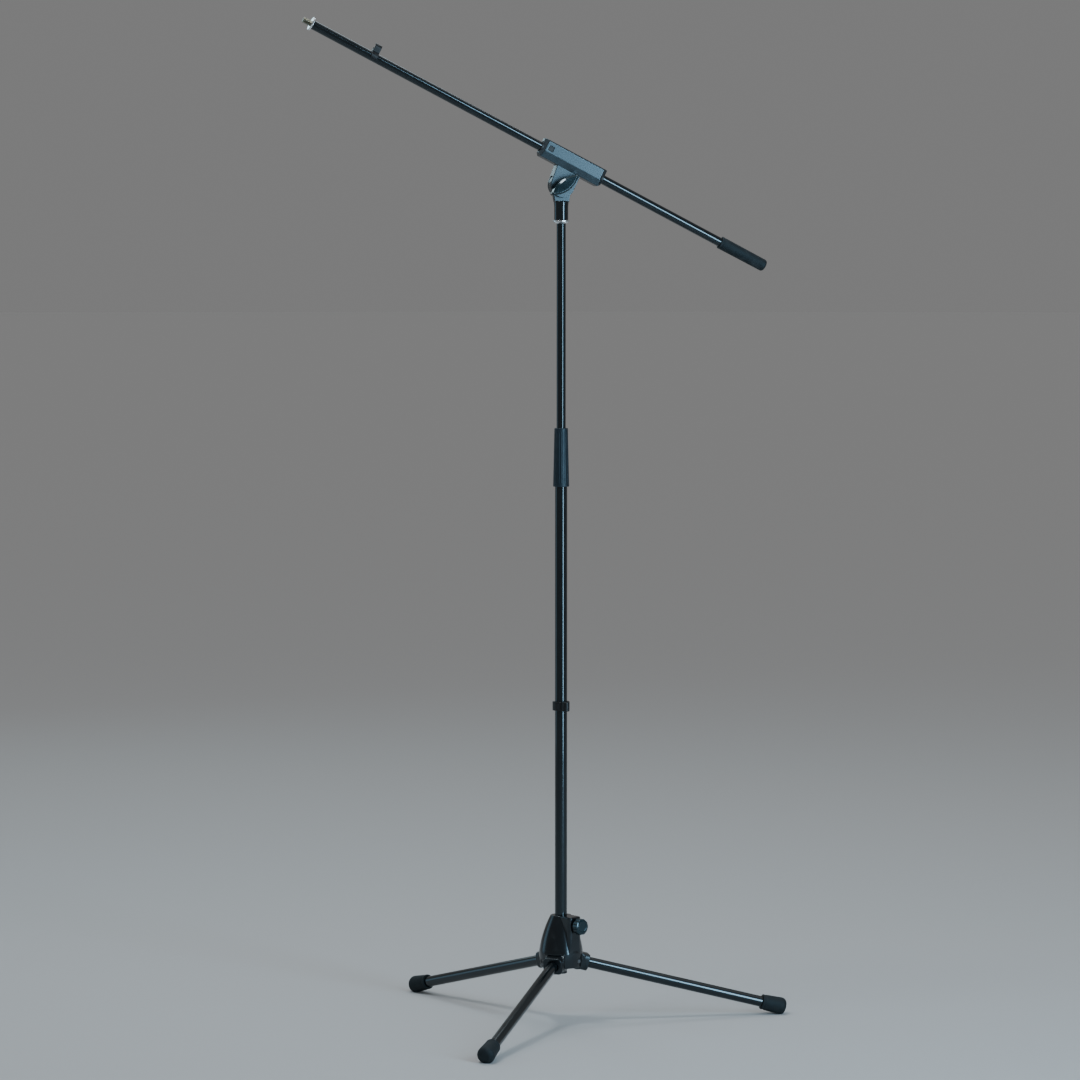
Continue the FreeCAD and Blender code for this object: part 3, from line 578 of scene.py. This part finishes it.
def foot(place):
    """A rubber cap that swells towards its rounded end, worn flat where it stands."""
    low, high = FOOT_SPAN
    (lip_r, end_r), dome, seat = FOOT_R, 9.0, LEG_TUBE_END + 0.2
    corners = [(0, seat), (LEG_TUBE_R, seat), (LEG_TUBE_R, low), (lip_r - 0.4, low)]
    corners += [(lip_r, low + 0.8), (lip_r, low + 2.6), (lip_r - 0.7, low + 3.2)]
    profile = softened(corners + [(lip_r + 0.1, low + 6.0)], 0.4)
    profile += [Vector(p) for p in arc((end_r - dome, high - dome), dome, 0, 90, 16)]
    cap = turned(divided(profile + [(0, high)], 1.5), ONTO_X, 128)
    to_floor = place.inverted()
    for vertex in cap.data.vertices:
        spot = place @ vertex.co
        spot.z = max(spot.z, 0.0)
        vertex.co = to_floor @ spot
    return cap


# ---- column --------------------------------------------------------------------------
def clutch():
    """The tapered hand grip, fluted along its length between two plain bands."""
    low, high = CLUTCH_Z
    bottom_r, top_r, mouth_r = 13.1, 11.0, UPPER_TUBE_R + 0.3
    skirt_r, skirt_z, cone_z, throat_z = 11.3, 908.0, 946.0, 967.0
    corners = [(skirt_r, skirt_z), (skirt_r, low), (bottom_r, low), (top_r, high)]
    corners += [(mouth_r, high), (mouth_r, throat_z)]
    inside = [(9.0, throat_z), (9.75, cone_z), (9.9, skirt_z)]
    profile = divided(softened(corners, 1.2), 1.2) + inside
    flutes, depth, band, run_out, plain_r = 18, 0.35, 6.0, 2.0, 9.2

    def fluted(angle, radius, station):
        ends = min(station - low - band, high - band - station)
        if radius < plain_r or ends < 0:
            return radius
        groove = max(0.0, math.cos(flutes * angle)) ** 0.7
        return radius - depth * groove * min(1.0, ends / run_out)

    return turned(profile, segments=288, relief=fluted)


def cable_clip(tube_r, wall, mouth_deg, height, lift, edge):
    """A snap-on cable clip along Z: a band round the tube and a cable hook on +X."""
    band_in, band_out = tube_r + 0.05, tube_r + wall
    hook_in, hook_out = 4.1, 6.2
    hook_at = band_out + hook_in - 0.3 + lift
    half, reach = math.radians(mouth_deg / 2), 3 * band_out
    far_x, far_y = reach * math.cos(half), reach * math.sin(half)
    mouth = [(0, 0), (-far_x, far_y), (-far_x, -far_y)]
    root = band_in + 0.5
    bridge = [(root, -hook_out), (hook_at, -hook_out), (hook_at, hook_out), (root, hook_out)]
    rims, through_all = (edge, edge), (-1, height + 1)
    band = plate(arc((0, 0), band_out, 0, 352.5, 47), 0, height, rims)
    hook = plate(arc((hook_at, 0), hook_out, 0, 350, 35), 0, height, rims)
    body = combined("UNION", band, plate(bridge, 0, height, rims), hook)
    body = combined(
        "DIFFERENCE", body, rod(band_in, *through_all), plate(mouth, *through_all),
        rod(hook_in, *through_all, shift(hook_at, 0, 0)),
        block((hook_at - 1.0, hook_at + 4.6), (0, 20), through_all),
    )
    return cast(largest_part(body), grain=0.32, passes=3)


def largest_part(obj):
    """The object without the crumbs that a cut has left beside its largest part."""
    shape = bmesh.new()
    shape.from_mesh(obj.data)
    crumbs = sorted(islands(shape), key=len)[:-1]
    bmesh.ops.delete(shape, geom=[v for part in crumbs for v in part], context="VERTS")
    shape.to_mesh(obj.data)
    shape.free()
    return obj


def islands(shape):
    """The separate parts of a bmesh, as sets of vertices."""
    left, parts = set(shape.verts), []
    while left:
        part, edge = set(), [next(iter(left))]
        while edge:
            vertex = edge.pop()
            if vertex in part:
                continue
            part.add(vertex)
            edge += [e.other_vert(vertex) for e in vertex.link_edges]
        parts.append(part)
        left -= part
    return parts


def knurled(teeth, depth, rim_r):
    """A relief of fine teeth round the rim of a ring nut."""
    def relief(angle, radius, station):
        if radius < rim_r:
            return radius
        return radius - depth * abs(math.sin(teeth * angle / 2))
    return relief


def column_lock_ring():
    """The thin nut under the head, coned below and knurled round its rim."""
    low, high = LOCK_RING_Z
    bore_r, foot_r, rim_r, cone = STUD_R + FIT, 9.0, 13.0, 2.75
    corners = [(bore_r, low), (foot_r, low), (rim_r, low + cone), (rim_r, high), (bore_r, high)]
    relief = knurled(teeth=90, depth=0.1, rim_r=12.9)
    return turned(softened(corners, 0.45, closed=True), segments=360, relief=relief)


def tube_end_plug():
    """The plug in the column's lower end, with a flange over the tube's edge."""
    inner_r, top = LOWER_TUBE_R - TUBE_WALL - 0.02, TUBE_FOOT_Z + 22
    foot, seat = TUBE_FOOT_Z - 3.0, TUBE_FOOT_Z - 0.05
    corners = [(0, foot), (LOWER_TUBE_R, foot), (LOWER_TUBE_R, seat), (inner_r, seat)]
    return turned(softened(corners + [(inner_r, top), (0, top)], 0.9))


# ---- head ----------------------------------------------------------------------------
def yoke():
    """The swivelling collar, its flared shoulder, and the flat tongue that the fork grips."""
    low, neck, ledge = COLLAR_FOOT_Z - PIVOT_Z, COLLAR_TOP_Z - PIVOT_Z, YOKE_LEDGE_Z - PIVOT_Z
    collar_r, flare_r = 11.45, 12.2
    corners = [(0, low), (collar_r, low), (collar_r, neck), (flare_r, ledge), (0, ledge)]
    collar = turned(softened(corners, 1.2), segments=160)
    foot, horn, crest, horn_z = 12, 14, 10, -15.2
    outline = [(-foot, ledge - 1), (foot, ledge - 1), (horn, horn_z)]
    outline += [(crest, 0), (-crest, 0), (-horn, horn_z)]
    web = plate(outline, -TONGUE_HALF, TONGUE_HALF, place=FACING_Y)
    tongue = rod(DISC_R - 0.2, -TONGUE_HALF, TONGUE_HALF, ONTO_Y, 160)
    return cast(combined("UNION", collar, web, tongue), grain=0.4, passes=2)


def clamp_sleeve():
    """The die-cast clamp: a faceted sleeve round the boom and the fork under it."""
    top, brow, flank, sole = 55.2, 53.0, 36.0, 25.0
    depth, corner, toe, bevel = SLEEVE_HALF_DEPTH, SLEEVE_CORNER, 4.5, 2.2
    front, rear = SLEEVE_SPAN
    right = [(FORK_HALF, sole), (depth, flank), (depth, brow), (depth - bevel, top)]
    section = right + [(-y, z) for y, z in reversed(right)]
    half_plan = [(rear, depth - corner), (rear - corner - 2, depth + 2)]
    half_plan += [(front + corner + 2, depth + 2), (front, depth - corner)]
    plan = half_plan + [(x, -y) for x, y in reversed(half_plan)]
    side = [(front + toe + 2, sole - 2), (rear - toe - 2, sole - 2), (rear + 2, sole + toe + 2)]
    side += [(rear + 2, top + 3), (front - 2, top + 3), (front - 2, sole + toe + 2)]
    sleeve = plate(section, front - 5, rear + 5, place=FACING_X)
    in_plan, from_side = plate(plan, 0, 80), plate(side, -20, 20, place=FACING_Y)
    sleeve = combined("INTERSECT", sleeve, in_plan, from_side)

    near, far, low, high = -23.0, 19.5, sole + 1, flank - 1
    roots = [(far, low), (far, high), (near, high), (near, low)]
    outline = arc((0, 0), DISC_R, 180, 360, 60) + roots
    cheeks = plate(outline, 0.05 - FORK_HALF, FORK_HALF - 0.05, place=FACING_Y)
    slot = block((-40, 40), (-CHEEK_IN, CHEEK_IN), (-30, 0))
    swing = rod(DISC_R + 1.2, -CHEEK_IN, CHEEK_IN, ONTO_Y, 160)
    cheeks = combined("DIFFERENCE", cheeks, slot, swing)
    body = combined("UNION", sleeve, cheeks, touching=True)

    bore = shift(0, 0, BOOM_OFFSET) @ ONTO_X
    cutters = [
        rod(BOOM_R + 0.6, front - 2, rear + 2, bore),
        rod(BUSH_R + FIT, front - 2, front + BUSH_LENGTH, bore),
        rod(BUSH_R + FIT, rear - BUSH_LENGTH, rear + 2, bore),
        block(BADGE_X, (-depth - 2, -depth + BADGE_DEPTH), BADGE_Z),
        rod(NUT_R + FIT, FORK_HALF - 2.0, FORK_HALF + 5, ONTO_Y),
    ]
    return cast(combined("DIFFERENCE", body, *cutters, touching=True), grain=0.42, passes=2)


def badge():
    """A blank square plate set in the sleeve's side, with a shallow dish."""
    gap, rim, floor_y = 0.15, 1.2, SLEEVE_HALF_DEPTH - BADGE_DEPTH

    def square(margin):
        (left, right), (low, high) = BADGE_X, BADGE_Z
        left, right, low, high = left + margin, right - margin, low + margin, high - margin
        return [(left, low), (right, low), (right, high), (left, high)]

    face = softened(square(gap), 0.8, closed=True)
    body = plate(face, floor_y + 0.02, floor_y + 0.5, (0, 0.15), FACING_Y)
    dish = softened(square(gap + rim), 0.6, closed=True)
    return combined("DIFFERENCE", body, plate(dish, floor_y + 0.25, floor_y + 1, place=FACING_Y))


def lever():
    """A pointed oval bar on a round hub, with a broad bevel round its front."""
    half, width = T_BAR_LENGTH / 2, T_BAR_WIDTH / 2
    arc_r = (half ** 2 + width ** 2) / (2 * width)
    blunted_deg, tip_r = 8.0, 3.5
    sweep = math.degrees(math.asin(half / arc_r)) - blunted_deg
    lower = arc((0, arc_r - width), arc_r, -90 - sweep, -90 + sweep, 40)
    upper = arc((0, width - arc_r), arc_r, 90 - sweep, 90 + sweep, 40)
    tips = half - 3.55
    right = arc((tips, 0), tip_r, -60, 60, 12)
    left = arc((-tips, 0), tip_r, 120, 240, 12)
    back, front, bevel = -T_BAR_WING[1], -T_BAR_WING[0], 3.0
    layers = [(1.0, back), (0.3, back + 0.3), (0, back + 1.0), (0, front - bevel), (bevel, front)]
    wing = layered(lower + right + upper + left, layers, FACING_Y)
    hub_r, root = 8.5, T_BAR_WING[1] - 1
    hub = softened([(0, root), (hub_r, root), (hub_r, T_BAR_BACK), (0, T_BAR_BACK)], 0.6)
    return cast(combined("UNION", wing, turned(hub, ONTO_Y)), grain=0.3, passes=2)


def hexagon_bolt():
    """The tilt pin, with its hexagon head chamfered by a lathe."""
    low, high, flat = FORK_HALF - 1.9, FORK_HALF + 2.6, NUT_R * math.cos(math.pi / 6)
    corners = [(0, BOLT_END), (BOLT_R, BOLT_END), (BOLT_R, low), (NUT_R, low)]
    corners += [(NUT_R, high - 0.8), (flat - 0.4, high), (0, high)]
    profile = divided(softened(corners, 0.25), 1.0)

    def six_sided(angle, radius, station):
        off = (angle + math.pi / 6) % (math.pi / 3) - math.pi / 6
        return min(radius, flat / math.cos(off)) if radius > BOLT_R + 0.3 else radius

    return turned(profile, ONTO_Y, 144, six_sided)


def threaded(pitch, depth, low, high):
    """A relief that winds a thread between two stations."""
    def relief(angle, radius, station):
        if not low <= station <= high:
            return radius
        phase = (station / pitch - angle / (2 * math.pi)) % 1.0
        fade = min(1.0, (station - low) / pitch, (high - station) / pitch)
        return radius - depth * fade * abs(2 * phase - 1)
    return relief


# ---- boom ----------------------------------------------------------------------------
def boom_stud():
    """The turned plug in the boom's front end and its threaded stud."""
    plug_r, nut = BOOM_R - TUBE_WALL, BOOM_RING_SPAN[0] - 0.2
    seat, plug_end, chamfer = BOOM_SPAN[0] - 0.1, BOOM_SPAN[0] + 24, 0.9
    tip = [(STUD_R - chamfer, STUD_END), (STUD_R, STUD_END + chamfer), (STUD_R, nut)]
    thread = divided(tip, STUD_PITCH / 10)
    neck = [(STUD_NECK_R, nut + 0.1), (STUD_NECK_R, seat)]
    plug = [(plug_r, seat), (plug_r, plug_end), (0, plug_end)]
    winding = threaded(STUD_PITCH, 0.8, STUD_END + 0.4, nut)
    return turned([(0, STUD_END)] + thread + neck + plug, ONTO_X, 96, winding)


def boom_ring():
    """The knurled ring nut on the stud."""
    low, high = BOOM_RING_SPAN
    bore_r, rim_r = STUD_NECK_R + FIT, 11.0
    corners = [(bore_r, low), (rim_r, low), (rim_r, high), (bore_r, high)]
    relief = knurled(teeth=80, depth=0.1, rim_r=10.9)
    return turned(softened(corners, 0.6, closed=True), ONTO_X, 320, relief)


def boom_grip():
    """The rubber grip over the boom's rear end, closed and rounded behind."""
    low, high = GRIP_SPAN
    front_r, rear_r, dome = 10.45, 9.95, 4.5
    seat = BOOM_SPAN[1] + 0.2
    corners = [(0, seat), (BOOM_R, seat), (BOOM_R, low), (front_r, low)]
    corners += [(front_r, low + 3.0), (front_r - 0.5, low + 3.6), (front_r - 0.1, low + 5.0)]
    profile = softened(corners + [(front_r - 0.15, low + 9.0)], 0.6)
    profile += [Vector(p) for p in arc((rear_r - dome, high - dome), dome, 0, 90, 10)]
    return turned(divided(profile + [(0, high)], 2.0), ONTO_X, 128)


# ---- the pieces ----------------------------------------------------------------------
def build_stand():
    piece("hub_body", hub_casting(), STAND, "hub", "cast_black")
    pin_places = [leg_in_hub(angle) @ ONTO_Y for angle in LEG_ANGLES.values()]
    pins = [rod_with_edge(LEG_PIN_R, *LEG_PIN_SPAN, place) for place in pin_places]
    piece("leg_pins", combined("UNION", *pins), STAND, "hub", "zinc_steel", 40)
    piece("hub_knob", knob(), KNOB, "base_knob", "knob_black")
    screw = rod_with_edge(SCREW_R, *SCREW_SPAN, ONTO_X)
    piece("hub_knob_screw", screw, KNOB, "base_knob", "zinc_steel", 40)

    for name, angle in LEG_ANGLES.items():
        place, body = STAND @ leg_in_hub(angle), "leg_" + name
        piece("leg_knuckle_" + name, knuckle(), place, body, "knuckle_black")
        leg = tube(LEG_TUBE_R, LEG_TUBE_R - TUBE_WALL, -LEG_TUBE_R, LEG_TUBE_END)
        piece("leg_tube_" + name, leg, place @ ONTO_X, body, "tube_black")
        piece("foot_" + name, foot(place), place, body, "rubber_black")

    lower = tube(LOWER_TUBE_R, LOWER_TUBE_R - TUBE_WALL, TUBE_FOOT_Z, LOWER_TUBE_TOP_Z)
    piece("lower_tube", lower, STAND, "column", "tube_black")
    piece("tube_end_plug", tube_end_plug(), STAND, "column", "nylon_black")
    height = COLUMN_CLIP_Z[1] - COLUMN_CLIP_Z[0]
    clip = cable_clip(LOWER_TUBE_R, wall=4.0, mouth_deg=100, height=height, lift=0.0, edge=1.2)
    clip_place = STAND @ shift(0, 0, COLUMN_CLIP_Z[0]) @ turn(COLUMN_CLIP_ANGLE, "Z")
    piece("column_clip", clip, clip_place, "column_clip", "clip_black")
    piece("clutch_grip", clutch(), STAND, "clutch", "grip_satin")
    upper = tube(UPPER_TUBE_R, UPPER_TUBE_R - TUBE_WALL, *UPPER_TUBE_Z)
    piece("upper_tube", upper, STAND, "mast", "tube_black")
    piece("column_lock_ring", column_lock_ring(), STAND, "column_lock_ring", "chrome")


def build_head():
    swivel = piece("yoke", yoke(), HEAD, "yoke", "head_satin")
    enamel_top = YOKE_LEDGE_Z - PIVOT_Z
    two_tone = finish("head_two_tone", enamel_top=enamel_top, **SURFACES["head_satin"])
    swivel.data.materials[0] = two_tone
    piece("clamp_sleeve", clamp_sleeve(), CLAMP, "clamp", "head_satin")
    piece("sleeve_badge", badge(), CLAMP, "clamp", "clip_black", 40)
    piece("pivot_bolt", hexagon_bolt(), CLAMP, "clamp", "zinc_steel", 35)
    washer = tube(9.5, BOLT_R + FIT, -FORK_HALF - 1.3, -FORK_HALF - 0.05, ONTO_Y)
    piece("t_bar_washer", washer, CLAMP, "clamp", "zinc_steel", 40)
    for name, low in (("front", SLEEVE_SPAN[0]), ("rear", SLEEVE_SPAN[1] - BUSH_LENGTH)):
        bush = tube(BUSH_R, BOOM_R + 0.06, low, low + BUSH_LENGTH, ONTO_X, 0.5)
        piece("sleeve_bush_" + name, bush, BOOM, "clamp", "nylon_black", 40)
    piece("t_bar", lever(), T_BAR, "lever", "knob_black")


def build_boom():
    pipe = tube(BOOM_R, BOOM_R - TUBE_WALL, *BOOM_SPAN)
    piece("boom_tube", pipe, BOOM @ ONTO_X, "boom", "tube_black")
    piece("boom_stud", boom_stud(), BOOM, "boom", "stud_brass", 35)
    piece("boom_ring", boom_ring(), BOOM, "boom_ring", "chrome")
    piece("boom_grip", boom_grip(), BOOM, "boom", "rubber_black")
    height = BOOM_CLIP_SPAN[1] - BOOM_CLIP_SPAN[0]
    clip = cable_clip(BOOM_R, wall=2.0, mouth_deg=130, height=height, lift=2.5, edge=0.5)
    clip_place = BOOM @ shift(BOOM_CLIP_SPAN[1], 0, 0) @ HOOK_UP
    piece("boom_clip", clip, clip_place, "boom_clip", "clip_black")


def dress_inner_nodes():
    """The pieces inside others keep their CAD shape and take a surface from here."""
    inner = {
        "hub_clamp_pad": "nylon_black", "clutch_insert": "nylon_black",
        "clutch_collet": "nylon_black", "upper_tube_guide": "nylon_black",
        "tube_top_stud": "zinc_steel", "clamp_shoe": "zinc_steel",
        "friction_washers": "fibre_grey", "t_bar_insert": "brass",
        "boom_end_plug": "nylon_black",
    }
    for node, slot in inner.items():
        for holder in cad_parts[node].material_slots:
            holder.material = MATERIALS[slot]


# ---- floor, light and camera ---------------------------------------------------------
def floor():
    """A plain pale disc, wide enough for its edge to lie at the horizon."""
    bottom = -FLOOR_THICKNESS
    profile = [(0, bottom), (FLOOR_R, bottom), (FLOOR_R, 0.0), (0, 0.0)]
    ground = turned(profile, STAND, 64)
    ground.name = "floor"
    pale = bpy.data.materials.new("floor_pale")
    pale.use_nodes = True
    shader = pale.node_tree.nodes["Principled BSDF"]
    shader.inputs["Base Color"].default_value = (0.5, 0.5, 0.5, 1)
    shader.inputs["Roughness"].default_value = 0.85
    ground.data.materials.append(pale)


# name, azimuth from the camera's side in degrees, distance, height, the height it is aimed
# at, (width, height) in metres, radiance, colour
PANELS = (
    ("key", 41, 3.2, 1.5, 1.5, (0.6, 2.9), 20, (0.52, 0.79, 1.0)),
    ("side", -108, 2.8, 1.4, 1.4, (1.0, 2.6), 1.0, (0.4, 0.75, 1.0)),
    ("crown", -55, 0.75, 3.0, 0.8, (0.5, 0.5), 26, (0.9, 0.96, 1.0)),
    ("tip", -156, 4.2, 2.5, 1.4, (1.2, 1.2), 2, (0.6, 0.88, 1.0)),
    ("back", 180, 2.2, 3.4, 0.8, (2.0, 1.0), 3, (0.8, 0.92, 1.0)),
)


def panel(name, azimuth, distance, height, aim_height, size, radiance, colour):
    """A soft light panel turned towards the stand."""
    data = bpy.data.lights.new(name, "AREA")
    data.shape, data.size, data.size_y = "RECTANGLE", *size
    data.energy, data.color = radiance * math.pi * size[0] * size[1], colour
    lamp = bpy.data.objects.new(name, data)
    lamp.visible_camera = False
    a = math.radians(azimuth)
    lamp.location = Vector((distance * math.sin(a), -distance * math.cos(a), height))
    aim = Vector((COLUMN_X * MM, COLUMN_Y * MM, aim_height))
    lamp.rotation_euler = (aim - lamp.location).to_track_quat("-Z", "Y").to_euler()
    bpy.context.scene.collection.objects.link(lamp)


def studio():
    """An even grey surround, a very wide soft sun overhead, and the panels."""
    world = bpy.data.worlds.new("studio")
    world.use_nodes = True
    backdrop = world.node_tree.nodes["Background"]
    backdrop.inputs["Color"].default_value = (0.2, 0.2, 0.2, 1)
    bpy.context.scene.world = world
    sky = bpy.data.lights.new("sky", "SUN")
    sky.energy, sky.angle = 0.62, math.radians(80)
    bpy.context.scene.collection.objects.link(bpy.data.objects.new("sky", sky))
    for row in PANELS:
        panel(*row)


def camera():
    """The photo's camera: far off, with a long lens, just below the height of the head."""
    data = bpy.data.cameras.new("camera")
    data.lens, data.sensor_width = CAMERA_LENS, 36.0
    data.clip_start, data.clip_end = 0.1, 300.0
    eye = bpy.data.objects.new("camera", data)
    spot = (COLUMN_X + CAMERA_SIDE, COLUMN_Y - CAMERA_BACK, CAMERA_HEIGHT)
    eye.location = Vector(spot) * MM
    eye.rotation_euler = (math.radians(90 - CAMERA_DIP), 0, 0)
    bpy.context.scene.collection.objects.link(eye)
    bpy.context.scene.camera = eye


build_stand()
build_head()
build_boom()
dress_inner_nodes()
floor()
studio()
camera()
